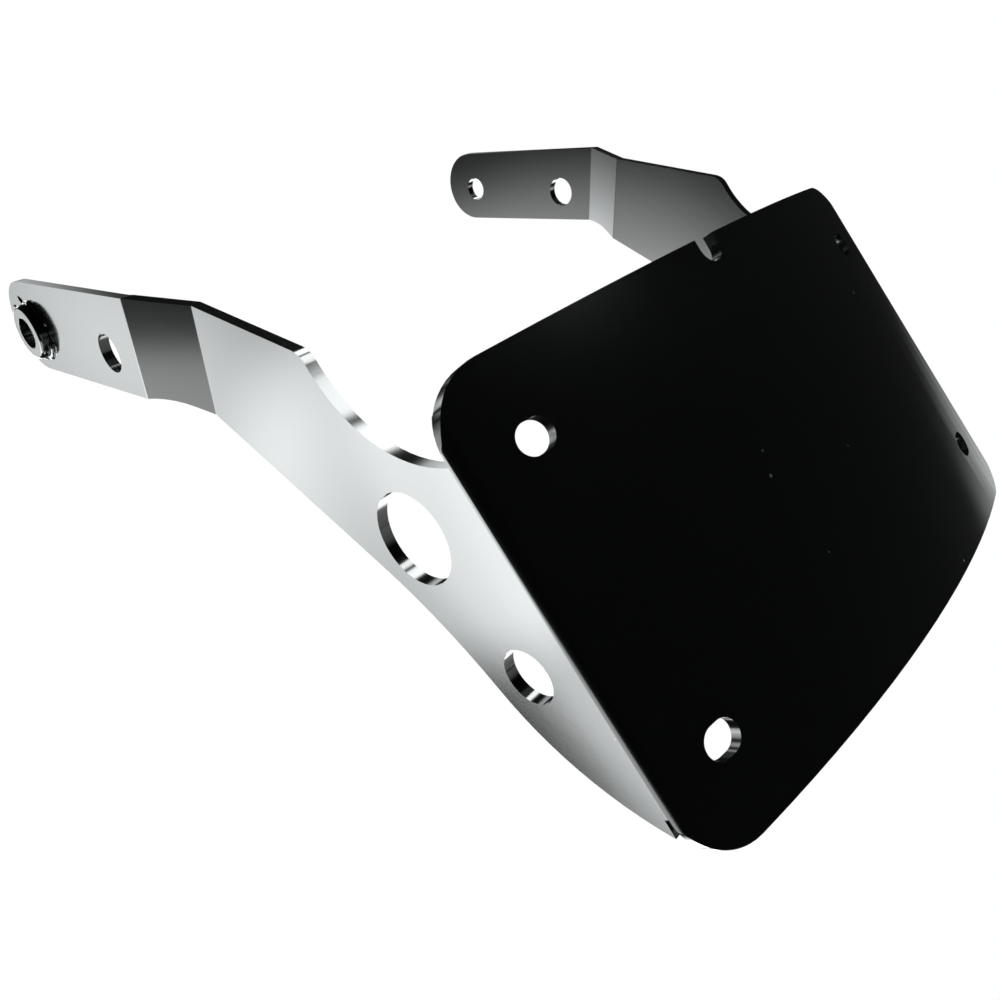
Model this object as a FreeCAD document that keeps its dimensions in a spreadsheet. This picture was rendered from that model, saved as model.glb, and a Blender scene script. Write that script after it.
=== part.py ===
"""Curved licence plate mount: one folded steel sheet with a boss welded to the outer face of its left tab."""
import FreeCAD, Part
import math
import os
import Sketcher

# Driving dimensions in millimetres and degrees: alias, value, what it is.
DIMENSIONS = [
    ("sheet_gauge", 3.0, "thickness of the folded sheet"),
    ("roll_radius", 353.9, "rear, convex face of the rolled plate"),
    ("half_width", 90.1, "middle plane to the outer face of an arm"),
    ("plate_height", 108.7, "plate, lower edge to upper edge"),
    ("top_corner", 14.7, "rounding of the plate's upper corners"),
    ("low_corner", 13.8, "rounding of the plate's lower corners"),
    ("fold_inside", 0.5, "inside radius of every fold"),
    ("slot_spread", 146.0, "plate slots, centre to centre across"),
    ("slot_rise", 70.0, "plate slots, centre to centre upright"),
    ("slot_length", 9.1, "plate slot, end to end"),
    ("slot_width", 7.4, "plate slot, edge to edge"),
    ("notch_width", 8.1, "notch in the middle of the upper edge"),
    ("notch_depth", 6.7, "upper edge to the bottom of the notch"),
    ("relief_width", 1.2, "slit between the plate's lower corner and the arm's foot"),
    ("relief_top", 40.4, "origin height down to the top of the slit"),
    ("arm_foot", 44.7, "origin height down to the arm's lowest corner"),
    ("fold_lean", 42.1, "climb of the arm, square to its two outer folds, in degrees"),
    ("joggle_start", 119.1, "origin to the first outer fold, along the climb"),
    ("joggle_angle", 26.0, "turn of each outer fold, in degrees"),
    ("joggle_step", 8.5, "how far the tab stands outside the arm"),
    ("strip_lean", 33.7, "climb of the tab's edges, in degrees"),
    ("strip_width", 26.7, "tab, edge to edge"),
    ("tab_reach", 141.8, "forward place of the centre of the tab's round end"),
    ("tab_height", 140.8, "height of that centre"),
    ("edge_lean", 43.7, "climb of the arm's upper edge, in degrees"),
    ("kink_reach", 79.7, "forward place of the kink in the upper edge"),
    ("dip_radius", 33.7, "hollow of the upper edge beside the plate"),
    ("dip_reach", 4.5, "forward place of the hollow's centre"),
    ("dip_height", 70.8, "height of the hollow's centre"),
    ("shoulder_radius", 5.8, "rounding between the hollow and the upper edge"),
    ("lower_lean", 59.9, "climb of the arm's lower edge, in degrees"),
    ("elbow_reach", 97.0, "forward place where the tab's lower edge ends"),
    ("elbow_radius", 25.0, "rounding between the tab's lower edge and the arm's"),
    ("belly_radius", 143.5, "hollow of the arm's lower edge"),
    ("heel_radius", 67.3, "bulge of the lower edge near the plate"),
    ("heel_reach", 40.7, "forward place where the hollow meets the bulge"),
    ("boss_back", 1.7, "tab's end centre back to the bore's axis, along the tab"),
    ("boss_low", 1.1, "tab's middle line down to the bore's axis, square to the tab"),
    ("boss_bore", 9.0, "bore through each tab and through the boss"),
    ("boss_width", 16.2, "outer diameter of the boss"),
    ("boss_depth", 3.0, "how far the boss stands off the tab"),
    ("boss_chamfer", 0.6, "chamfer round the boss's outer edge"),
    ("eye_back", 48.2, "tab's end centre back to the second hole, along the tab"),
    ("eye_low", 2.6, "tab's middle line down to the second hole, square to the tab"),
    ("eye_width", 10.8, "diameter of the tab's second hole"),
    ("window_reach", 38.3, "forward place of the large lightening hole"),
    ("window_height", 30.0, "height of the large lightening hole"),
    ("window_width", 22.2, "diameter of the large lightening hole"),
    ("port_reach", 28.8, "forward place of the small lightening hole"),
    ("port_drop", 5.9, "origin height down to the small lightening hole"),
    ("port_width", 13.0, "diameter of the small lightening hole"),
]
SIZE = {alias: value for alias, value, _ in DIMENSIONS}

# Waste beyond the part that a cut may sweep, the overlap of two runs of sheet that join,
# and the flat arm's length before it is trimmed.
CLEAR = 60.0
OVERLAP = 6.0
ARM_RUN = 90.0

# Where the plate's fold ends and the flat arm begins, along Y.
FOLD_OUTSIDE = "(Sizes.fold_inside + Sizes.sheet_gauge)"
FOLD_END = (
    "(Sizes.roll_radius - sqrt((Sizes.roll_radius - {0}) ^ 2 - (Sizes.half_width - {0}) ^ 2))"
).format(FOLD_OUTSIDE)


def on_tab(back, low):
    """Forward and height expressions of a place behind the tab's end centre and below its middle line."""
    lean = "Sizes.strip_lean * 1 deg"
    return (
        f"Sizes.tab_reach - {back} * cos({lean}) + {low} * sin({lean})",
        f"Sizes.tab_height - {back} * sin({lean}) - {low} * cos({lean})",
    )


BOSS_PLACE = on_tab("Sizes.boss_back", "Sizes.boss_low")
EYE_PLACE = on_tab("Sizes.eye_back", "Sizes.eye_low")

START, END, CENTRE = range(1, 4)
ORIGIN = (-START, START)
ACROSS_AXIS, UP_AXIS = -START, -END


def make_sheet(doc):
    """Keep the driving dimensions in a spreadsheet, one alias for each."""
    sheet = doc.addObject("Spreadsheet::Sheet", "Sizes")
    for row, (alias, value, note) in enumerate(DIMENSIONS, start=1):
        sheet.set(f"A{row}", alias)
        sheet.set(f"B{row}", str(value))
        sheet.set(f"C{row}", note)
        sheet.setAlias(f"B{row}", alias)
    doc.recompute()


def point(across, up):
    """Point of a sketch."""
    return FreeCAD.Vector(across, up, 0)


def line(first, second):
    """Straight edge between two (across, up) pairs."""
    return Part.LineSegment(point(*first), point(*second))


def arc(centre, radius, first, last):
    """Edge that runs anticlockwise round a centre, from one angle in degrees to another."""
    circle = Part.Circle(point(*centre), FreeCAD.Vector(0, 0, 1), radius)
    return Part.ArcOfCircle(circle, math.radians(first), math.radians(last))


def polar(centre, radius, angle):
    """Place at a distance and an angle in degrees from a centre."""
    turn = math.radians(angle)
    return centre[0] + radius * math.cos(turn), centre[1] + radius * math.sin(turn)


class Outline:
    """A sketch whose edges are added first and then held by ties and bound sizes."""

    def __init__(self, body, name, role):
        plane = next(item for item in body.Origin.OriginFeatures if item.Role == role)
        self.sketch = body.newObject("Sketcher::SketchObject", name)
        self.sketch.AttachmentSupport = [(plane, "")]
        self.sketch.MapMode = "FlatFace"

    def value(self, expression):
        """Number that an expression of the sheet stands for."""
        result = self.sketch.evalExpression(expression)
        return getattr(result, "Value", result)

    def place(self, offset=None, lean=None):
        """Move the sketch off its plane, or lean it about its own first axis."""
        if offset:
            self.sketch.setExpression("AttachmentOffset.Base.z", offset)
        if lean:
            self.sketch.AttachmentOffset = FreeCAD.Placement(
                FreeCAD.Vector(), FreeCAD.Rotation(FreeCAD.Vector(1, 0, 0), self.value(lean))
            )
            self.sketch.setExpression("AttachmentOffset.Rotation.Angle", lean + " * 1 deg")

    def add(self, *edges):
        """Add edges and return the number of the first."""
        return self.sketch.addGeometry(list(edges), False)[0]

    def tie(self, kind, *where):
        """Geometric constraint without a size."""
        self.sketch.addConstraint(Sketcher.Constraint(kind, *where))

    def join(self, *pairs, smooth=()):
        """Join the ends of edges; the pairs numbered in smooth also meet tangentially."""
        for number, (first, second) in enumerate(pairs):
            kind = "Tangent" if number in smooth else "Coincident"
            self.tie(kind, *first, *second)

    def size(self, kind, where, expression):
        """Constraint whose value is bound to the sheet."""
        value = self.value(expression)
        if kind == "Angle":
            value = math.radians(value)
            expression = f"({expression}) * 1 deg"
        index = self.sketch.addConstraint(Sketcher.Constraint(kind, *where, value))
        self.sketch.setExpression(f"Constraints[{index}]", expression)

    def reach(self, edge, end, across=None, up=None, below=None):
        """Hold a point at distances from the origin; below counts downwards."""
        if across:
            self.size("DistanceX", ORIGIN + (edge, end), across)
        if up:
            self.size("DistanceY", ORIGIN + (edge, end), up)
        if below:
            self.size("DistanceY", (edge, end) + ORIGIN, below)

    def circle(self, across, up, width, below=False):
        """Round hole with its centre and diameter bound to the sheet."""
        height = -self.value(up) if below else self.value(up)
        centre = point(self.value(across), height)
        edge = self.add(Part.Circle(centre, FreeCAD.Vector(0, 0, 1), self.value(width) / 2))
        self.reach(edge, CENTRE, across=across, up=None if below else up, below=up if below else None)
        self.size("Diameter", (edge,), width)


def pad(body, outline, name, length):
    """Thicken a closed outline by the same amount to both sides of its plane."""
    feature = body.newObject("PartDesign::Pad", name)
    feature.Profile = outline.sketch
    feature.SideType = "Symmetric"
    feature.setExpression("Length", length)
    return feature


def cut_through(body, outline, name, one_way=False, reverse=False):
    """Cut an outline right through, to both sides of its plane or to one."""
    feature = body.newObject("PartDesign::Pocket", name)
    feature.Profile = outline.sketch
    feature.Type = "ThroughAll"
    feature.SideType = "One side" if one_way else "Symmetric"
    feature.Reversed = reverse
    return feature


def draw_plan(body):
    """Half of the plate and one arm, as seen from above: two arcs, the fold and the flat arm."""
    plan = Outline(body, "plan", "XY_Plane")
    roll, gauge = SIZE["roll_radius"], SIZE["sheet_gauge"]
    inside = SIZE["fold_inside"]
    outside = inside + gauge
    half = SIZE["half_width"]
    fold = (half - outside, plan.value(FOLD_END))
    far_end = fold[1] + ARM_RUN
    turn = math.degrees(math.atan2(fold[1] - roll, fold[0]))
    centre = (0, roll)
    rear = plan.add(
        arc(centre, roll, -90, turn),
        arc(fold, outside, turn, 0),
        line((half, fold[1]), (half, far_end)),
        line((half, far_end), (half - gauge, far_end)),
        line((half - gauge, far_end), (half - gauge, fold[1])),
        arc(fold, inside, turn, 0),
        arc(centre, roll - gauge, -90, turn),
        line((0, gauge), (0, 0)),
    )
    outer_fold, outer_arm, tip, inner_arm, inner_fold, front, middle = range(rear + 1, rear + 8)
    plan.join(
        ((rear, END), (outer_fold, START)),
        ((outer_fold, END), (outer_arm, START)),
        ((outer_arm, END), (tip, START)),
        ((tip, END), (inner_arm, START)),
        ((inner_arm, END), (inner_fold, END)),
        ((inner_fold, START), (front, END)),
        ((front, START), (middle, START)),
        ((middle, END), (rear, START)),
        smooth=(0, 1, 4, 5),
    )
    plan.tie("Coincident", rear, START, *ORIGIN)
    plan.tie("PointOnObject", rear, CENTRE, UP_AXIS)
    plan.tie("Coincident", rear, CENTRE, front, CENTRE)
    plan.tie("Coincident", outer_fold, CENTRE, inner_fold, CENTRE)
    plan.tie("PointOnObject", front, START, UP_AXIS)
    plan.tie("Vertical", outer_arm)
    plan.tie("Vertical", inner_arm)
    plan.tie("Horizontal", tip)
    plan.size("Radius", (rear,), "Sizes.roll_radius")
    plan.size("Radius", (inner_fold,), "Sizes.fold_inside")
    plan.reach(outer_arm, START, across="Sizes.half_width")
    plan.size("DistanceX", (tip, END, tip, START), "Sizes.sheet_gauge")
    plan.size("DistanceY", (outer_arm, START, outer_arm, END), str(ARM_RUN))
    return plan


def draw_rest(body):
    """The stretch beyond the first outer fold, which the flat arm doesn't reach."""
    rest = Outline(body, "arm_end", "XY_Plane")
    rest.place(lean="Sizes.fold_lean")
    left, right = SIZE["half_width"] - CLEAR, SIZE["half_width"] + CLEAR
    low = SIZE["joggle_start"] - OVERLAP
    base = rest.add(
        line((left, low), (right, low)),
        line((right, low), (right, low + 2 * CLEAR)),
        line((right, low + 2 * CLEAR), (left, low + 2 * CLEAR)),
        line((left, low + 2 * CLEAR), (left, low)),
    )
    corners = [((base + side, END), (base + (side + 1) % 4, START)) for side in range(4)]
    rest.join(*corners)
    for side in (0, 2):
        rest.tie("Horizontal", base + side)
        rest.tie("Vertical", base + side + 1)
    rest.reach(base, START, across=f"Sizes.half_width - {CLEAR}", up=f"Sizes.joggle_start - {OVERLAP}")
    rest.size("DistanceX", (base, START, base, END), str(2 * CLEAR))
    rest.size("DistanceY", (base + 1, START, base + 1, END), str(2 * CLEAR))
    return rest


def draw_joggle(body):
    """Section of the tab and its two outer folds, square to the fold lines."""
    section = Outline(body, "joggle", "XY_Plane")
    section.place(lean="Sizes.fold_lean")
    gauge, inside = SIZE["sheet_gauge"], SIZE["fold_inside"]
    outside = inside + gauge
    half, step = SIZE["half_width"], SIZE["joggle_step"]
    angle = SIZE["joggle_angle"]
    start = SIZE["joggle_start"]
    first = (half + inside, start)
    lift = step - (inside + outside) * (1 - math.cos(math.radians(angle)))
    second = (
        half + step - outside,
        start + lift / math.tan(math.radians(angle)) + (inside + outside) * math.sin(math.radians(angle)),
    )
    tab = half + step
    far_end = start + 2 * CLEAR
    base = section.add(
        line((half, start - OVERLAP), (half, start)),
        arc(first, inside, 180 - angle, 180),
        line(polar(first, inside, 180 - angle), polar(second, outside, -angle)),
        arc(second, outside, -angle, 0),
        line((tab, second[1]), (tab, far_end)),
        line((tab, far_end), (tab - gauge, far_end)),
        line((tab - gauge, far_end), (tab - gauge, second[1])),
        arc(second, inside, -angle, 0),
        line(polar(second, inside, -angle), polar(first, outside, 180 - angle)),
        arc(first, outside, 180 - angle, 180),
        line((half - gauge, start), (half - gauge, start - OVERLAP)),
        line((half - gauge, start - OVERLAP), (half, start - OVERLAP)),
    )
    (outer_arm, outer_first, outer_run, outer_second, outer_tab, tip,
     inner_tab, inner_second, inner_run, inner_first, inner_arm, root) = range(base, base + 12)
    section.join(
        ((outer_arm, END), (outer_first, END)),
        ((outer_first, START), (outer_run, START)),
        ((outer_run, END), (outer_second, START)),
        ((outer_second, END), (outer_tab, START)),
        ((outer_tab, END), (tip, START)),
        ((tip, END), (inner_tab, START)),
        ((inner_tab, END), (inner_second, END)),
        ((inner_second, START), (inner_run, START)),
        ((inner_run, END), (inner_first, START)),
        ((inner_first, END), (inner_arm, START)),
        ((inner_arm, END), (root, START)),
        ((root, END), (outer_arm, START)),
        smooth=(0, 1, 2, 3, 6, 7, 8, 9),
    )
    section.tie("Coincident", outer_first, CENTRE, inner_first, CENTRE)
    section.tie("Coincident", outer_second, CENTRE, inner_second, CENTRE)
    for edge in (outer_arm, outer_tab, inner_tab, inner_arm):
        section.tie("Vertical", edge)
    section.tie("Horizontal", tip)
    section.tie("Horizontal", root)
    section.reach(outer_arm, END, across="Sizes.half_width", up="Sizes.joggle_start")
    section.reach(outer_tab, START, across="Sizes.half_width + Sizes.joggle_step")
    section.size("Radius", (outer_first,), "Sizes.fold_inside")
    section.size("Radius", (inner_second,), "Sizes.fold_inside")
    section.size("DistanceX", (tip, END, tip, START), "Sizes.sheet_gauge")
    section.size("DistanceX", (root, START, root, END), "Sizes.sheet_gauge")
    section.size("DistanceY", (outer_arm, START, outer_arm, END), str(OVERLAP))
    section.size("DistanceY", (outer_arm, END, outer_tab, END), str(2 * CLEAR))
    section.size("Angle", (outer_arm, END, outer_run, START), "180 - Sizes.joggle_angle")
    return section


def draw_profile(body):
    """Waste all round the plate and the arm as seen from the side, with the arm's whole contour."""
    profile = Outline(body, "profile", "YZ_Plane")
    height = SIZE["plate_height"] / 2
    fold_end = profile.value(FOLD_END)
    rear, top, low, far = -CLEAR, 5 * CLEAR, -4 * CLEAR, 5 * CLEAR
    slit, foot_reach = fold_end - SIZE["relief_width"] / 2, fold_end + SIZE["relief_width"] / 2
    dip = (SIZE["dip_reach"], SIZE["dip_height"])
    dip_start = math.degrees(math.acos((fold_end - dip[0]) / SIZE["dip_radius"]))
    shoulder_turn = 10
    shoulder = polar(dip, SIZE["dip_radius"] + SIZE["shoulder_radius"], shoulder_turn)
    lean, edge_lean = SIZE["strip_lean"], SIZE["edge_lean"]
    tab_end = (SIZE["tab_reach"], SIZE["tab_height"])
    half_strip = SIZE["strip_width"] / 2
    tab_top = polar(tab_end, half_strip, lean + 90)
    tab_low = polar(tab_end, half_strip, lean - 90)
    kink_run = (SIZE["kink_reach"] - tab_top[0]) / math.cos(math.radians(lean))
    kink = polar(tab_top, kink_run, lean)
    lower_lean = SIZE["lower_lean"]
    elbow_run = (SIZE["elbow_reach"] - tab_low[0]) / math.cos(math.radians(lean))
    elbow_end = polar(tab_low, elbow_run, lean)
    elbow = polar(elbow_end, SIZE["elbow_radius"], lean - 90)
    elbow_foot = polar(elbow, SIZE["elbow_radius"], lower_lean + 90)
    heel_turn = 165
    heel = (SIZE["heel_reach"], -SIZE["heel_reach"] / 5)
    belly = polar(heel, SIZE["belly_radius"], heel_turn + 180)
    belly_top = polar(belly, SIZE["belly_radius"], lower_lean + 90)
    heel_centre = polar(heel, SIZE["heel_radius"], heel_turn)
    foot = math.degrees(math.asin((-SIZE["arm_foot"] - heel_centre[1]) / SIZE["heel_radius"]))
    base = profile.add(
        line((rear, height), (fold_end, height)),
        line((fold_end, height), polar(dip, SIZE["dip_radius"], -dip_start)),
        arc(dip, SIZE["dip_radius"], -dip_start, shoulder_turn),
        arc(shoulder, SIZE["shoulder_radius"], edge_lean + 90, shoulder_turn + 180),
        line(polar(shoulder, SIZE["shoulder_radius"], edge_lean + 90), kink),
        line(kink, tab_top),
        arc(tab_end, half_strip, lean - 90, lean + 90),
        line(tab_low, elbow_end),
        arc(elbow, SIZE["elbow_radius"], lean + 90, lower_lean + 90),
        line(elbow_foot, belly_top),
        arc(belly, SIZE["belly_radius"], lower_lean + 90, heel_turn),
        arc(heel_centre, SIZE["heel_radius"], foot, heel_turn - 180),
        line((foot_reach, -SIZE["arm_foot"]), (foot_reach, -SIZE["relief_top"])),
        line((foot_reach, -SIZE["relief_top"]), (slit, -SIZE["relief_top"])),
        line((slit, -SIZE["relief_top"]), (slit, -height)),
        line((slit, -height), (rear, -height)),
        line((rear, -height), (rear, low)),
        line((rear, low), (far, low)),
        line((far, low), (far, top)),
        line((far, top), (rear, top)),
        line((rear, top), (rear, height)),
    )
    (plate_top, drop, hollow, shoulder_arc, upper, tab_upper, tab_round, tab_lower, elbow_arc,
     lower, belly_arc, heel_arc, foot_edge, slit_top, slit_side, plate_low, *frame) = range(base, base + 21)
    profile.join(
        ((plate_top, END), (drop, START)),
        ((drop, END), (hollow, START)),
        ((hollow, END), (shoulder_arc, END)),
        ((shoulder_arc, START), (upper, START)),
        ((upper, END), (tab_upper, START)),
        ((tab_upper, END), (tab_round, END)),
        ((tab_round, START), (tab_lower, START)),
        ((tab_lower, END), (elbow_arc, START)),
        ((elbow_arc, END), (lower, START)),
        ((lower, END), (belly_arc, START)),
        ((belly_arc, END), (heel_arc, END)),
        ((heel_arc, START), (foot_edge, START)),
        ((foot_edge, END), (slit_top, START)),
        ((slit_top, END), (slit_side, START)),
        ((slit_side, END), (plate_low, START)),
        ((plate_low, END), (frame[0], START)),
        *[((frame[side], END), (frame[side + 1], START)) for side in range(4)],
        ((frame[4], END), (plate_top, START)),
        smooth=(2, 3, 5, 6, 7, 8, 9, 10),
    )
    for edge in (plate_top, slit_top, plate_low, frame[1], frame[3]):
        profile.tie("Horizontal", edge)
    for edge in (drop, foot_edge, slit_side, frame[0], frame[2], frame[4]):
        profile.tie("Vertical", edge)
    profile.reach(drop, START, across=FOLD_END, up="Sizes.plate_height / 2")
    profile.reach(foot_edge, START, across=f"{FOLD_END} + Sizes.relief_width / 2", below="Sizes.arm_foot")
    profile.reach(slit_top, START, below="Sizes.relief_top")
    profile.size("DistanceX", (slit_top, END, slit_top, START), "Sizes.relief_width")
    profile.reach(plate_low, START, below="Sizes.plate_height / 2")
    profile.size("DistanceX", (plate_low, END) + ORIGIN, str(CLEAR))
    profile.tie("PointOnObject", frame[4], START, frame[0])
    profile.reach(frame[1], END, across=str(5 * CLEAR), below=str(4 * CLEAR))
    profile.reach(frame[3], START, up=str(5 * CLEAR))
    profile.reach(hollow, CENTRE, across="Sizes.dip_reach", up="Sizes.dip_height")
    profile.size("Radius", (hollow,), "Sizes.dip_radius")
    profile.size("Radius", (shoulder_arc,), "Sizes.shoulder_radius")
    profile.size("Angle", (ACROSS_AXIS, START, upper, START), "Sizes.edge_lean")
    profile.size("Angle", (ACROSS_AXIS, START, tab_upper, START), "Sizes.strip_lean")
    profile.tie("Parallel", tab_upper, tab_lower)
    profile.reach(upper, END, across="Sizes.kink_reach")
    profile.reach(tab_round, CENTRE, across="Sizes.tab_reach", up="Sizes.tab_height")
    profile.size("Radius", (tab_round,), "Sizes.strip_width / 2")
    profile.reach(elbow_arc, START, across="Sizes.elbow_reach")
    profile.size("Radius", (elbow_arc,), "Sizes.elbow_radius")
    profile.size("Angle", (ACROSS_AXIS, START, lower, END), "Sizes.lower_lean")
    profile.size("Radius", (belly_arc,), "Sizes.belly_radius")
    profile.size("Radius", (heel_arc,), "Sizes.heel_radius")
    profile.reach(heel_arc, END, across="Sizes.heel_reach")
    return profile


def draw_corners(body):
    """Waste outside the plate's two rounded corners, as far forward as the fold ends."""
    corners = Outline(body, "plate_corners", "XZ_Plane")
    corners.place(offset="-" + FOLD_END)
    half, height = SIZE["half_width"], SIZE["plate_height"] / 2
    margin = CLEAR / 2
    for sign, radius_name in ((1, "top_corner"), (-1, "low_corner")):
        radius = SIZE[radius_name]
        centre = (half - radius, sign * (height - radius))
        outer, beyond = half + margin, sign * (height + margin)
        start, end = (0, 90) if sign > 0 else (-90, 0)
        base = corners.add(
            arc(centre, radius, start, end),
            line((centre[0], sign * height), (centre[0], beyond)),
            line((centre[0], beyond), (outer, beyond)),
            line((outer, beyond), (outer, centre[1])),
            line((outer, centre[1]), (half, centre[1])),
        )
        on_edge, on_side = (END, START) if sign > 0 else (START, END)
        corners.join(
            ((base, on_edge), (base + 1, START)),
            ((base + 1, END), (base + 2, START)),
            ((base + 2, END), (base + 3, START)),
            ((base + 3, END), (base + 4, START)),
            ((base + 4, END), (base, on_side)),
        )
        for edge in (base + 1, base + 3):
            corners.tie("Vertical", edge)
        for edge in (base + 2, base + 4):
            corners.tie("Horizontal", edge)
        corners.tie("Vertical", base, CENTRE, base, on_edge)
        corners.tie("Horizontal", base, CENTRE, base, on_side)
        corners.size("Radius", (base,), f"Sizes.{radius_name}")
        corners.reach(base, on_side, across="Sizes.half_width")
        if sign > 0:
            corners.reach(base, on_edge, up="Sizes.plate_height / 2")
            corners.size("DistanceY", (base + 1, START, base + 1, END), str(margin))
        else:
            corners.reach(base, on_edge, below="Sizes.plate_height / 2")
            corners.size("DistanceY", (base + 1, END, base + 1, START), str(margin))
        corners.size("DistanceX", (base + 4, END, base + 4, START), str(margin))
    return corners


def draw_slots(body):
    """Upper and lower plate slot of one side, each a level run with round ends."""
    slots = Outline(body, "plate_slots", "XZ_Plane")
    reach = SIZE["slot_spread"] / 2
    radius = SIZE["slot_width"] / 2
    run = SIZE["slot_length"] / 2 - radius
    for sign in (1, -1):
        level = sign * SIZE["slot_rise"] / 2
        left, right = (reach - run, level), (reach + run, level)
        base = slots.add(
            arc(left, radius, 90, 270),
            line((left[0], level - radius), (right[0], level - radius)),
            arc(right, radius, -90, 90),
            line((right[0], level + radius), (left[0], level + radius)),
        )
        slots.join(
            ((base, END), (base + 1, START)),
            ((base + 1, END), (base + 2, START)),
            ((base + 2, END), (base + 3, START)),
            ((base + 3, END), (base, START)),
            smooth=(0, 1, 2, 3),
        )
        slots.tie("Horizontal", base + 1)
        slots.size("Radius", (base,), "Sizes.slot_width / 2")
        half_run = "(Sizes.slot_length - Sizes.slot_width) / 2"
        slots.reach(base, CENTRE, across=f"Sizes.slot_spread / 2 - {half_run}")
        slots.size("DistanceX", (base, CENTRE, base + 2, CENTRE), f"2 * {half_run}")
        if sign > 0:
            slots.reach(base, CENTRE, up="Sizes.slot_rise / 2")
        else:
            slots.reach(base, CENTRE, below="Sizes.slot_rise / 2")
    return slots


def draw_arm_holes(body):
    """Two lightening holes of the arm, and the tab's bore and second hole."""
    holes = Outline(body, "arm_holes", "YZ_Plane")
    holes.circle("Sizes.window_reach", "Sizes.window_height", "Sizes.window_width")
    holes.circle("Sizes.port_reach", "Sizes.port_drop", "Sizes.port_width", below=True)
    holes.circle(*EYE_PLACE, "Sizes.eye_width")
    holes.circle(*BOSS_PLACE, "Sizes.boss_bore")
    return holes


def draw_notch(body):
    """Notch with a round bottom in the middle of the plate's upper edge."""
    notch = Outline(body, "edge_notch", "XZ_Plane")
    radius = SIZE["notch_width"] / 2
    bottom = SIZE["plate_height"] / 2 - SIZE["notch_depth"] + radius
    above = SIZE["plate_height"] / 2 + radius
    base = notch.add(
        arc((0, bottom), radius, 180, 360),
        line((radius, bottom), (radius, above)),
        line((radius, above), (-radius, above)),
        line((-radius, above), (-radius, bottom)),
    )
    notch.join(
        ((base, END), (base + 1, START)),
        ((base + 1, END), (base + 2, START)),
        ((base + 2, END), (base + 3, START)),
        ((base + 3, END), (base, START)),
        smooth=(0, 3),
    )
    notch.tie("Horizontal", base + 2)
    notch.tie("Vertical", base + 1)
    notch.tie("PointOnObject", base, CENTRE, UP_AXIS)
    notch.size("Radius", (base,), "Sizes.notch_width / 2")
    notch.reach(base, CENTRE, up="Sizes.plate_height / 2 - Sizes.notch_depth + Sizes.notch_width / 2")
    notch.reach(base + 1, END, up="(Sizes.plate_height + Sizes.notch_width) / 2")
    return notch


def make_mount_sheet(doc):
    """The folded sheet: plate, two arms with their joggles and tabs, and every hole."""
    body = doc.addObject("PartDesign::Body", "mount_sheet")
    pad(body, draw_plan(body), "plate_and_arm", "2.2 * Sizes.plate_height")
    cut_through(body, draw_rest(body), "arm_end_cut")
    pad(body, draw_joggle(body), "joggle_and_tab", "2 * Sizes.plate_height")
    cut_through(body, draw_profile(body), "profile_cut")
    cut_through(body, draw_corners(body), "corner_cut", one_way=True, reverse=True)
    cut_through(body, draw_slots(body), "slot_cut")
    cut_through(body, draw_arm_holes(body), "hole_cut")
    doc.recompute()
    middle = next(item for item in body.Origin.OriginFeatures if item.Role == "YZ_Plane")
    mirrored = body.newObject("PartDesign::Mirrored", "left_half")
    mirrored.TransformMode = "Whole shape"
    mirrored.MirrorPlane = (middle, [""])
    body.Tip = mirrored
    doc.recompute()
    cut_through(body, draw_notch(body), "notch_cut")
    doc.recompute()
    return body


def make_boss(doc):
    """Round boss on the outer face of the left tab, turned with a chamfered outer edge."""
    body = doc.addObject("PartDesign::Body", "left_boss")
    ring = Outline(body, "ring", "YZ_Plane")
    ring.place(offset="-(Sizes.half_width + Sizes.joggle_step)")
    ring.circle(*BOSS_PLACE, "Sizes.boss_width")
    ring.circle(*BOSS_PLACE, "Sizes.boss_bore")
    feature = body.newObject("PartDesign::Pad", "turned_ring")
    feature.Profile = ring.sketch
    feature.Reversed = True
    feature.setExpression("Length", "Sizes.boss_depth")
    doc.recompute()
    outer = max(
        (edge for edge in feature.Shape.Edges if isinstance(edge.Curve, Part.Circle)),
        key=lambda edge: (edge.Curve.Radius, -edge.Curve.Center.x),
    )
    name = next(f"Edge{i}" for i, edge in enumerate(feature.Shape.Edges, 1) if edge.isSame(outer))
    chamfer = body.newObject("PartDesign::Chamfer", "rim_chamfer")
    chamfer.Base = (feature, [name])
    chamfer.setExpression("Size", "Sizes.boss_chamfer")
    doc.recompute()
    return body


def check(doc, parts):
    """Stop if any object failed or any piece is not one closed valid solid."""
    for item in doc.Objects:
        if "Invalid" in item.State or "Error" in item.State:
            raise RuntimeError(f"{item.Label} did not build: {item.State}")
    for part in parts:
        shape = part.Shape
        if shape.isNull() or not shape.isValid() or len(shape.Solids) != 1:
            raise RuntimeError(f"{part.Label} is not one valid solid")
        print(f"{part.Label}: {shape.Volume:.1f} mm3, {len(shape.Faces)} faces, {shape.BoundBox}")


def main():
    """Build every piece and write its file."""
    doc = FreeCAD.newDocument("licence_plate_mount")
    make_sheet(doc)
    parts = (make_mount_sheet(doc), make_boss(doc))
    check(doc, parts)
    os.makedirs("parts", exist_ok=True)
    for part in parts:
        part.Shape.exportStep(f"parts/{part.Label}.step")


main()
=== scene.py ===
"""Looks of a curved licence plate mount: black powder coat, weld beads, studio light and camera."""
import logging
import math
from dataclasses import dataclass
from typing import Any, Callable

import bmesh
import bpy
from mathutils import Matrix, Vector


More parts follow.
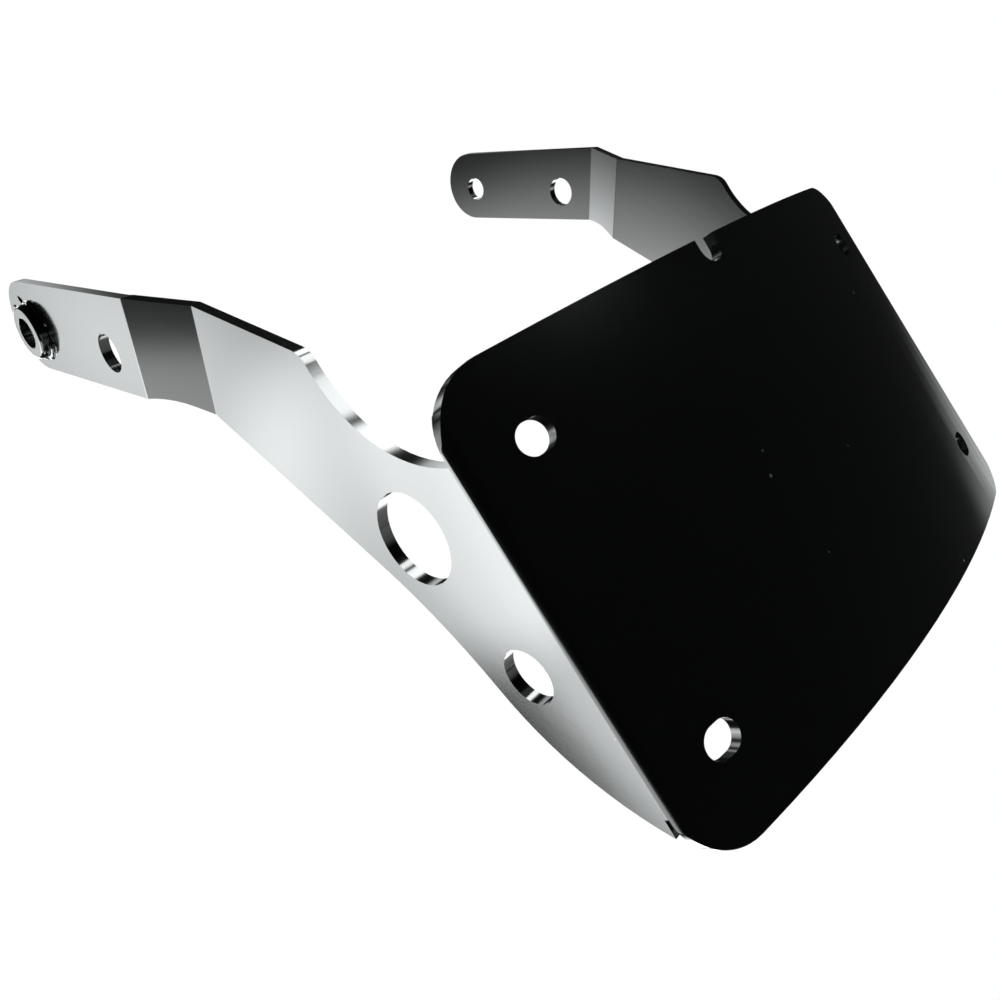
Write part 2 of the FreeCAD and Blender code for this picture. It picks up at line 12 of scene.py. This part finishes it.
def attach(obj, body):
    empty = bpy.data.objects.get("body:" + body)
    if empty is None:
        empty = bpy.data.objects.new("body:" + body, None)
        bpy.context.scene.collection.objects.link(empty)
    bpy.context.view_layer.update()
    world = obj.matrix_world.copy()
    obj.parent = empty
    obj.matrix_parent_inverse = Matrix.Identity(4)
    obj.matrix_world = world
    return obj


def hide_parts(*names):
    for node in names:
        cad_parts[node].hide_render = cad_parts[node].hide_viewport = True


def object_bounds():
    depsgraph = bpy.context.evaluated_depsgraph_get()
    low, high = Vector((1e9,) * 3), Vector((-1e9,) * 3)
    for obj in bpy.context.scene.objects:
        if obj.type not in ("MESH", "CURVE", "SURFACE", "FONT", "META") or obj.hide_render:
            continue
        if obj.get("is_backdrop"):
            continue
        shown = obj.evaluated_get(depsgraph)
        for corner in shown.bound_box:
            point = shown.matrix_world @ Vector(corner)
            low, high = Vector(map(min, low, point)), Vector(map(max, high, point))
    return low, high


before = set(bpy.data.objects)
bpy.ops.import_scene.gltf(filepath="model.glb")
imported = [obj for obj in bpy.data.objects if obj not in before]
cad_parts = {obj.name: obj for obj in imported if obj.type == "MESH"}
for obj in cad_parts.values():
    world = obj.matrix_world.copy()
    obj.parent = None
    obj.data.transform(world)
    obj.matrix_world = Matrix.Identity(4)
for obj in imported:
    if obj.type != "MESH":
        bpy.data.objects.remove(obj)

log = logging.getLogger("plate_mount")

MM = 0.001
IMAGE_PIXELS = 1000
# Edges that turn by more degrees than this are edges of the real sheet, and others are facets of a curve.
SHARP_TURN = 32
# Faces that turn by fewer degrees than this are one flat face, and points this close are one point.
FLAT_TURN = 0.5
SAME_POINT_MM = 0.001


def linear(hex_colour: str) -> tuple[float, float, float, float]:
    """Turn an sRGB colour into the linear values that a shader takes.

    Args:
        hex_colour: Six hex digits, such as "101112".

    Returns:
        Red, green, blue and an alpha of 1.
    """
    def channel(start: int) -> float:
        """Linear value of the two digits from start."""
        value = int(hex_colour[start:start + 2], 16) / 255
        return value / 12.92 if value <= 0.04045 else ((value + 0.055) / 1.055) ** 2.4
    return channel(0), channel(2), channel(4), 1.0


def add_node(
    tree: bpy.types.NodeTree, kind: str, settings: dict[str, Any] | None = None,
    values: dict[str | int, Any] | None = None, links: dict[str | int, Any] | None = None,
) -> bpy.types.Node:
    """Add a node with its settings, its constant inputs and its links.

    Args:
        tree: Node tree that takes the node.
        kind: Blender's name of the node type.
        settings: Properties of the node itself.
        values: Constant values, by input name or number.
        links: Output sockets to connect, by input name or number.

    Returns:
        The new node.
    """
    made = tree.nodes.new(kind)
    for name, value in (settings or {}).items():
        setattr(made, name, value)
    for name, value in (values or {}).items():
        made.inputs[name].default_value = value
    for name, socket in (links or {}).items():
        tree.links.new(socket, made.inputs[name])
    return made


def empty_material(name: str) -> tuple[bpy.types.Material, bpy.types.NodeTree, bpy.types.Node]:
    """Make a material that holds only its output node.

    Args:
        name: Name of the material.

    Returns:
        The material, its node tree and the output node.
    """
    material = bpy.data.materials.new(name)
    material.use_nodes = True
    tree = material.node_tree
    tree.nodes.clear()
    return material, tree, add_node(tree, "ShaderNodeOutputMaterial")


@dataclass(frozen=True)
class PowderCoat:
    """Black polyester powder coat, sprayed dry and baked until it flows: satin, with faint orange peel."""

    name: str = "black_powder_coat"
    colour: str = "08090a"
    dust_colour: str = "8f9294"
    # Baked polyester resin reflects a little more than clear plastic.
    ior: float = 1.56
    roughness: float = 0.15
    roughness_swing: float = 0.02
    # The gloss drifts a little over a few centimetres.
    drift_mm: float = 40.0
    # The resin that flows to the surface is a smoother, clear skin over the pigment.
    skin_ior: float = 1.5
    skin_roughness: float = 0.10
    # Orange peel is a swell a few millimetres across and some microns deep.
    peel_mm: float = 3.0
    peel_depth_mm: float = 0.006
    # Real grit is about 0.1 mm. It is drawn at 0.6 mm, because it would not show finer.
    grit_mm: float = 0.6
    grit_depth_mm: float = 0.004
    # Specks of dust about 0.7 mm across, one in every few centimetres.
    speck_mm: float = 14.0
    speck_share: float = 0.022
    # A speck fades out at this many times its radius, and hides this share of the coat below it.
    speck_fade: float = 1.6
    speck_cover: float = 0.5

    def build(self) -> bpy.types.Material:
        """Make the material.

        Returns:
            The finished material.
        """
        material, tree, output = empty_material(self.name)
        place = add_node(tree, "ShaderNodeTexCoord").outputs["Object"]
        peel = add_node(
            tree, "ShaderNodeTexNoise", values={"Scale": 1 / (self.peel_mm * MM), "Detail": 1.0},
            links={"Vector": place},
        )
        grit = add_node(
            tree, "ShaderNodeTexNoise", values={"Scale": 1 / (self.grit_mm * MM), "Detail": 2.0},
            links={"Vector": place},
        )
        swell = add_node(
            tree, "ShaderNodeBump", values={"Strength": 1.0, "Distance": self.peel_depth_mm * MM},
            links={"Height": peel.outputs["Fac"]},
        )
        grain = add_node(
            tree, "ShaderNodeBump", values={"Strength": 1.0, "Distance": self.grit_depth_mm * MM},
            links={"Height": grit.outputs["Fac"], "Normal": swell.outputs["Normal"]},
        )
        drift = add_node(
            tree, "ShaderNodeTexNoise", values={"Scale": 1 / (self.drift_mm * MM), "Detail": 3.0},
            links={"Vector": place},
        )
        gloss = add_node(
            tree, "ShaderNodeMapRange",
            values={
                "From Min": 0.3, "From Max": 0.7, "To Min": self.roughness - self.roughness_swing,
                "To Max": self.roughness + self.roughness_swing,
            },
            links={"Value": drift.outputs["Fac"]},
        )
        specks = add_node(
            tree, "ShaderNodeTexVoronoi", settings={"feature": "F1"},
            values={"Scale": 1 / (self.speck_mm * MM)}, links={"Vector": place},
        )
        dust = add_node(
            tree, "ShaderNodeMapRange",
            values={
                "From Min": self.speck_share, "From Max": self.speck_share * self.speck_fade,
                "To Min": self.speck_cover, "To Max": 0.0,
            },
            links={"Value": specks.outputs["Distance"]},
        )
        tone = add_node(
            tree, "ShaderNodeMix", settings={"data_type": "RGBA"},
            values={"A": linear(self.colour), "B": linear(self.dust_colour)},
            links={"Factor": dust.outputs["Result"]},
        )
        shader = add_node(
            tree, "ShaderNodeBsdfPrincipled",
            values={
                "IOR": self.ior, "Coat Weight": 1.0, "Coat Roughness": self.skin_roughness,
                "Coat IOR": self.skin_ior,
            },
            links={
                "Base Color": tone.outputs["Result"], "Roughness": gloss.outputs["Result"],
                "Normal": grain.outputs["Normal"],
            },
        )
        tree.links.new(shader.outputs["BSDF"], output.inputs["Surface"])
        return material


@dataclass(frozen=True)
class PaleBoard:
    """Matt white board of the studio floor, which the camera sees as plain white."""

    name: str = "pale_board"
    colour: str = "e6e6e4"
    roughness: float = 0.9

    def build(self) -> bpy.types.Material:
        """Make the material.

        Returns:
            The finished material.
        """
        material, tree, output = empty_material(self.name)
        board = add_node(
            tree, "ShaderNodeBsdfPrincipled",
            values={"Base Color": linear(self.colour), "Roughness": self.roughness},
        )
        white = add_node(tree, "ShaderNodeEmission", values={"Strength": 1.0})
        path = add_node(tree, "ShaderNodeLightPath")
        choice = add_node(
            tree, "ShaderNodeMixShader",
            links={0: path.outputs["Is Camera Ray"], 1: board.outputs["BSDF"], 2: white.outputs["Emission"]},
        )
        tree.links.new(choice.outputs["Shader"], output.inputs["Surface"])
        return material


def dressed_copy(
    node: str, name: str, edge_mm: float, material: bpy.types.Material,
    shape: Callable[[bmesh.types.BMesh], None] | None = None,
) -> bpy.types.Object:
    """Copy a CAD node, merge it, shape it, round its sharp edges and dress it.

    Args:
        node: Name of the CAD node.
        name: Name of the new piece.
        edge_mm: Radius of the coat over a sharp edge.
        material: Finish of the piece.
        shape: Change made to the merged mesh.

    Returns:
        The new piece, which stands for the node.
    """
    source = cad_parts[node]
    mesh = bpy.data.meshes.new(name)
    work = bmesh.new()
    work.from_mesh(source.data)
    bmesh.ops.remove_doubles(work, verts=work.verts, dist=SAME_POINT_MM * MM)
    bmesh.ops.dissolve_limit(
        work, angle_limit=math.radians(FLAT_TURN), use_dissolve_boundaries=False,
        verts=work.verts, edges=work.edges,
    )
    if shape:
        shape(work)
    for face in work.faces:
        face.smooth = True
    for edge in work.edges:
        edge.smooth = len(edge.link_faces) != 2 or edge.calc_face_angle() < math.radians(SHARP_TURN)
    work.to_mesh(mesh)
    work.free()
    piece = bpy.data.objects.new(name, mesh)
    bpy.context.scene.collection.objects.link(piece)
    mesh.materials.append(material)
    rounding = piece.modifiers.new("rounding", "BEVEL")
    rounding.limit_method = "ANGLE"
    rounding.angle_limit = math.radians(SHARP_TURN)
    rounding.width = edge_mm * MM
    rounding.segments = 4
    rounding.harden_normals = True
    rounding.miter_outer = "MITER_ARC"
    # Flat faces keep their own normals, so that only the folds and the rounded edges shade round.
    shading = piece.modifiers.new("shading", "WEIGHTED_NORMAL")
    shading.weight = 100
    shading.keep_sharp = True
    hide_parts(node)
    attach(piece, "root")
    return piece


@dataclass
class FoldedSheet:
    """Plate and arms, folded from one sheet."""

    coat: bpy.types.Material
    edge_mm: float = 0.55
    sheet_mm: float = 3.0
    roll_radius_mm: float = 353.9
    slot_across_mm: float = 73.0
    slot_up_mm: float = 35.0
    # Points this close to a slot's centre, across and upright, belong to its walls.
    slot_near_mm: tuple[float, float] = (5.0, 4.0)
    half_width_mm: float = 90.1
    step_mm: float = 8.5
    joggle_turn: float = 26.0
    # The folds run square to this climb, and the first one's outer corner lies this far along it.
    climb: float = 42.1
    first_fold_mm: float = 119.2
    # Smaller than the CAD's radii. A rounder fold mirrors a bright line that the photograph doesn't show.
    inside_radius_mm: float = 0.3
    outside_radius_mm: float = 1.0
    loop_mm: float = 0.15

    def lean_slots(self, work: bmesh.types.BMesh) -> None:
        """Turn the slots' walls square to the sheet, because they were punched before it was rolled.

        Args:
            work: Mesh of the sheet.
        """
        inner = self.roll_radius_mm - self.sheet_mm
        middle = inner + self.sheet_mm / 2
        for vert in work.verts:
            across, deep, up = (value / MM for value in vert.co)
            beside = abs(abs(across) - self.slot_across_mm) < self.slot_near_mm[0]
            level = abs(abs(up) - self.slot_up_mm) < self.slot_near_mm[1]
            if beside and level and math.hypot(across, self.roll_radius_mm - deep) < middle:
                across *= inner / self.roll_radius_mm
                vert.co.x = across * MM
                vert.co.y = (self.roll_radius_mm - math.sqrt(inner ** 2 - across ** 2)) * MM

    def bent_across(self, along: float, first: float, foot: float, radii: tuple[float, float]) -> float:
        """Distance of one face of an arm from the middle plane, with rounded folds.

        Args:
            along: Distance along the climb.
            first: Corner of the face's first fold, along the climb.
            foot: Distance of the face from the middle plane before the first fold.
            radii: Radii of the first and second folds on this face.

        Returns:
            Distance from the middle plane, all in mm.
        """
        turn = math.radians(self.joggle_turn)
        second = first + self.step_mm / math.tan(turn)
        tangents = [radius * math.tan(turn / 2) for radius in radii]
        rise = along - (first - tangents[0])
        if rise <= 0:
            return foot
        if rise < radii[0] * math.sin(turn):
            return foot + radii[0] - math.sqrt(radii[0] ** 2 - rise ** 2)
        fall = second + tangents[1] - along
        if fall <= 0:
            return foot + self.step_mm
        if fall < radii[1] * math.sin(turn):
            return foot + self.step_mm - radii[1] + math.sqrt(radii[1] ** 2 - fall ** 2)
        return foot + (along - first) * math.tan(turn)

    def bend_folds(self, work: bmesh.types.BMesh) -> None:
        """Give the folds of the slanted lengths their radii.

        Args:
            work: Mesh of the sheet.
        """
        turn = math.radians(self.joggle_turn)
        climb = Vector((0, math.cos(math.radians(self.climb)), math.sin(math.radians(self.climb))))
        run = self.step_mm / math.tan(turn)
        inside, outside = self.inside_radius_mm, self.outside_radius_mm
        inner_first = self.first_fold_mm + self.sheet_mm * math.tan(turn / 2)
        inner_foot = self.half_width_mm - self.sheet_mm
        reach = outside * math.tan(turn / 2) + self.sheet_mm * math.tan(turn / 2)
        loops = round(reach / self.loop_mm)
        for fold in (self.first_fold_mm, self.first_fold_mm + run):
            for step in range(-loops, loops + 1):
                bmesh.ops.bisect_plane(
                    work, geom=work.verts[:] + work.edges[:] + work.faces[:], dist=1e-7,
                    plane_co=climb * (fold + step * self.loop_mm) * MM, plane_no=climb,
                )
        for vert in work.verts:
            along = vert.co.dot(climb) / MM
            if self.first_fold_mm - reach < along < self.first_fold_mm + run + 2 * reach:
                faces = (
                    self.bent_across(along, self.first_fold_mm, self.half_width_mm, (inside, outside)),
                    self.bent_across(along, inner_first, inner_foot, (outside, inside)),
                )
                across = min(faces, key=lambda face: abs(face - abs(vert.co.x) / MM))
                vert.co.x = math.copysign(across * MM, vert.co.x)

    def shape(self, work: bmesh.types.BMesh) -> None:
        """Lean the slots and bend the folds."""
        self.lean_slots(work)
        self.bend_folds(work)

    def build(self) -> bpy.types.Object:
        """Dress the sheet.

        Returns:
            The piece.
        """
        return dressed_copy("mount_sheet", "coated_sheet", self.edge_mm, self.coat, self.shape)


@dataclass(frozen=True)
class WeldBead:
    """One run of weld along the foot of the boss, thick and lumpy, that thins out at its ends.

    Angles are in degrees from +Y towards +Z, and the reach is measured from the boss's axis. A run is a
    sphere drawn out along the foot.
    """

    start: float
    end: float
    start_reach_mm: float
    end_reach_mm: float
    start_size_mm: float
    end_size_mm: float
    lumps: int
    lift_mm: float = 0.0
    # Share of its size by which a run swells at its lumps, and where they fall for its start angle.
    ripple: float = 0.12
    ripple_shift: float = 1.3
    # Height of a run over its half width.
    flatness: float = 0.8
    sides: int = 12
    rings: int = 40

    def add_to(self, work: bmesh.types.BMesh, across_mm: float, axis_mm: tuple[float, float]) -> None:
        """Add the run to a mesh.

        Args:
            work: Mesh that takes the run.
            across_mm: X of the face that the run lies on.
            axis_mm: Y and Z of the boss's axis.
        """
        made = bmesh.ops.create_uvsphere(work, u_segments=self.sides, v_segments=self.rings, radius=1.0)
        for vert in made["verts"]:
            share = math.acos(max(-1.0, min(1.0, vert.co.z))) / math.pi
            ring = math.hypot(vert.co.x, vert.co.y)
            # The ends are blunter than a sphere's poles.
            blunt = ring ** 0.5 / ring if ring > 1e-4 else 0.0
            wave = math.sin(2 * math.pi * self.lumps * share + self.ripple_shift * self.start)
            size = (self.start_size_mm * (1 - share) + self.end_size_mm * share) * (1 + self.ripple * wave)
            reach = self.start_reach_mm * (1 - share) + self.end_reach_mm * share + vert.co.x * blunt * size
            angle = math.radians(self.start * (1 - share) + self.end * share)
            vert.co = (
                (across_mm - self.lift_mm - vert.co.y * blunt * size * self.flatness) * MM,
                (axis_mm[0] + reach * math.cos(angle)) * MM,
                (axis_mm[1] + reach * math.sin(angle)) * MM,
            )


@dataclass
class WeldedBoss:
    """Turned boss of the left tab, with the weld that holds it."""

    coat: bpy.types.Material
    edge_mm: float = 0.3
    tab_face_mm: float = -98.6
    axis_mm: tuple[float, float] = (141.0, 138.94)
    beads: tuple[WeldBead, ...] = (
        WeldBead(100, 202, 8.3, 8.7, 0.9, 1.2, 4),
        WeldBead(104, 97, 8.4, 11.4, 0.9, 0.12, 1),
        WeldBead(231, 290, 8.7, 8.7, 1.1, 1.1, 2),
        WeldBead(302, 334, 9.0, 8.8, 0.6, 0.4, 2),
        # A drop of spatter high on the boss.
        WeldBead(102, 108, 8.3, 8.3, 0.5, 0.5, 1, lift_mm=2.4),
    )

    def build_weld(self) -> bpy.types.Object:
        """Lay the runs of weld.

        Returns:
            The piece.
        """
        mesh = bpy.data.meshes.new("boss_weld")
        work = bmesh.new()
        for bead in self.beads:
            bead.add_to(work, self.tab_face_mm, self.axis_mm)
        bmesh.ops.recalc_face_normals(work, faces=work.faces)
        for face in work.faces:
            face.smooth = True
        work.to_mesh(mesh)
        work.free()
        piece = bpy.data.objects.new("boss_weld", mesh)
        bpy.context.scene.collection.objects.link(piece)
        mesh.materials.append(self.coat)
        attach(piece, "root")
        return piece

    def build(self) -> bpy.types.Object:
        """Dress the boss and lay its weld.

        Returns:
            The boss.
        """
        weld = self.build_weld()
        log.info("%s: %d faces", weld.name, len(weld.data.polygons))
        return dressed_copy("left_boss", "coated_boss", self.edge_mm, self.coat)


@dataclass(frozen=True)
class SoftPanel:
    """Oval light panel with a soft edge, far off, placed and sized by angles seen from the mount.

    Azimuth is in degrees from straight ahead of the plate, +Y, towards the right, +X.
    """

    azimuth: float
    elevation: float
    half_width: float
    half_height: float
    tilt: float
    softness: float
    radiance: float

    def add_level(self, tree: bpy.types.NodeTree, heading: bpy.types.NodeSocket) -> bpy.types.NodeSocket:
        """Add the nodes that give the panel's light in a direction.

        Args:
            tree: Node tree of the surroundings.
            heading: Output socket of the direction looked in.

        Returns:
            Output socket of the panel's light.
        """
        turn = (
            Matrix.Rotation(math.radians(-self.azimuth), 3, "Z")
            @ Matrix.Rotation(math.radians(self.elevation), 3, "X")
            @ Matrix.Rotation(math.radians(-self.tilt), 3, "Y")
        )
        width = math.sin(math.radians(self.half_width))
        height = math.sin(math.radians(self.half_height))
        offset = add_node(
            tree, "ShaderNodeMapping", settings={"vector_type": "TEXTURE"},
            values={"Location": turn.col[1], "Rotation": turn.to_euler(), "Scale": (width, width, height)},
            links={"Vector": heading},
        )
        reach = add_node(
            tree, "ShaderNodeVectorMath", settings={"operation": "LENGTH"}, links={0: offset.outputs[0]},
        )
        level = add_node(
            tree, "ShaderNodeMapRange", settings={"interpolation_type": "SMOOTHSTEP"},
            values={
                "From Min": 1 - self.softness, "From Max": 1 + self.softness,
                "To Min": self.radiance, "To Max": 0.0,
            },
            links={"Value": reach.outputs["Value"]},
        )
        return level.outputs["Result"]


@dataclass
class Studio:
    """White floor and a dark room with soft light panels, most of them ahead of the mount."""

    floor_drop: float = 0.45
    floor_radius: float = 0.35
    room_level: float = 0.01
    # Daylight lamps are a touch cooler than the paper.
    lamp_colour: str = "fafefe"
    backdrop_colour: str = "ffffff"
    panels: tuple[SoftPanel, ...] = (
        # Ahead and to the left, facing the left arm and the inner face of the right one.
        SoftPanel(-57, -25, 45, 17, 59, 0.05, 2.6),
        SoftPanel(-26, 16, 7, 12, -15, 0.9, 2.6),
        SoftPanel(-41, 1, 19, 14, 0, 0.2, 2.6),
        SoftPanel(-39, -16, 31, 4, -90, 0.07, 1.9),
        # Ahead and above, facing the right arm's slanted length.
        SoftPanel(6, 15, 16, 13, 8, 0.5, 6.0),
        # Low behind and to the right, along the plate's far end.
        SoftPanel(128, -50, 43, 7, -28, 0.9, 2.3),
        # High behind and to the right, along the hollow edges of the arms.
        SoftPanel(141, 26, 8, 16, 19, 0.25, 10.5),
        SoftPanel(110, 52, 19, 8, 7, 0.3, 9.8),
        # Low ahead, through the slots and the large hole.
        SoftPanel(10, -48, 14, 8, 0, 0.4, 4.0),
        SoftPanel(48, -37, 13, 22, -18, 0.4, 4.5),
        # High ahead, along the cut upper edges.
        SoftPanel(3, 47, 16, 9, 5, 0.4, 3.0),
        SoftPanel(50, 37, 16, 8, 20, 0.4, 1.4),
    )

    def build_floor(self, lowest: float) -> bpy.types.Object:
        """Make the round floor board.

        Args:
            lowest: Height of the mount's lowest point.

        Returns:
            The floor.
        """
        mesh = bpy.data.meshes.new("floor")
        work = bmesh.new()
        bmesh.ops.create_circle(
            work, cap_ends=True, segments=96, radius=self.floor_radius,
            matrix=Matrix.Translation((0, 0, lowest - self.floor_drop)),
        )
        work.to_mesh(mesh)
        work.free()
        floor = bpy.data.objects.new("floor", mesh)
        bpy.context.scene.collection.objects.link(floor)
        mesh.materials.append(PaleBoard().build())
        floor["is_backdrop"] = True
        return floor

    def build_world(self) -> bpy.types.World:
        """Make the surroundings, plain white for the camera.

        Returns:
            The world.
        """
        world = bpy.data.worlds.new("studio_room")
        world.use_nodes = True
        tree = world.node_tree
        tree.nodes.clear()
        heading = add_node(tree, "ShaderNodeTexCoord").outputs["Generated"]
        level = add_node(tree, "ShaderNodeValue").outputs[0]
        level.default_value = self.room_level
        for panel in self.panels:
            level = add_node(
                tree, "ShaderNodeMath", settings={"operation": "ADD"},
                links={0: level, 1: panel.add_level(tree, heading)},
            ).outputs[0]
        room = add_node(
            tree, "ShaderNodeBackground", values={"Color": linear(self.lamp_colour)},
            links={"Strength": level},
        )
        white = add_node(
            tree, "ShaderNodeBackground", values={"Color": linear(self.backdrop_colour), "Strength": 1.0},
        )
        path = add_node(tree, "ShaderNodeLightPath")
        choice = add_node(
            tree, "ShaderNodeMixShader",
            links={0: path.outputs["Is Camera Ray"], 1: room.outputs[0], 2: white.outputs[0]},
        )
        output = add_node(tree, "ShaderNodeOutputWorld", links={"Surface": choice.outputs[0]})
        output.is_active_output = True
        bpy.context.scene.world = world
        return world

    def build(self, low: Vector) -> None:
        """Make the floor and the surroundings.

        Args:
            low: Lowest corner of the mount.
        """
        self.build_floor(low.z)
        self.build_world()


@dataclass
class Viewpoint:
    """Camera of the photograph, beside the left end of the plate and rolled."""

    location_mm: tuple[float, float, float] = (-185.86, -115.24, 36.03)
    forward: tuple[float, float, float] = (0.61115, 0.79111, -0.02523)
    upward: tuple[float, float, float] = (0.42958, -0.30475, 0.85005)
    focal_pixels: float = 855.0
    centre_pixels: tuple[float, float] = (482.4, 488.3)
    sensor_mm: float = 36.0

    def build(self) -> bpy.types.Object:
        """Make the camera and give it to the scene.

        Returns:
            The camera object.
        """
        camera = bpy.data.cameras.new("camera")
        camera.sensor_fit = "HORIZONTAL"
        camera.sensor_width = self.sensor_mm
        camera.lens = self.focal_pixels * self.sensor_mm / IMAGE_PIXELS
        camera.shift_x = 0.5 - self.centre_pixels[0] / IMAGE_PIXELS
        camera.shift_y = self.centre_pixels[1] / IMAGE_PIXELS - 0.5
        camera.clip_start = 0.01
        holder = bpy.data.objects.new("camera", camera)
        back = -Vector(self.forward).normalized()
        right = Vector(self.upward).cross(back).normalized()
        turn = Matrix((right, back.cross(right), back)).transposed()
        holder.matrix_world = Matrix.Translation(Vector(self.location_mm) * MM) @ turn.to_4x4()
        bpy.context.scene.collection.objects.link(holder)
        bpy.context.scene.camera = holder
        return holder


def main() -> None:
    """Build the pieces, the studio and the camera, and report each piece."""
    logging.basicConfig(level=logging.INFO, format="%(message)s")
    cad_low, cad_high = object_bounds()
    coat = PowderCoat().build()
    builders = [FoldedSheet(coat), WeldedBoss(coat)]
    for builder in builders:
        piece = builder.build()
        log.info("%s: %d faces", piece.name, len(piece.data.polygons))
    Studio().build(cad_low)
    Viewpoint().build()
    bpy.context.scene.view_settings.view_transform = "Standard"


if __name__ == "__main__":
    main()
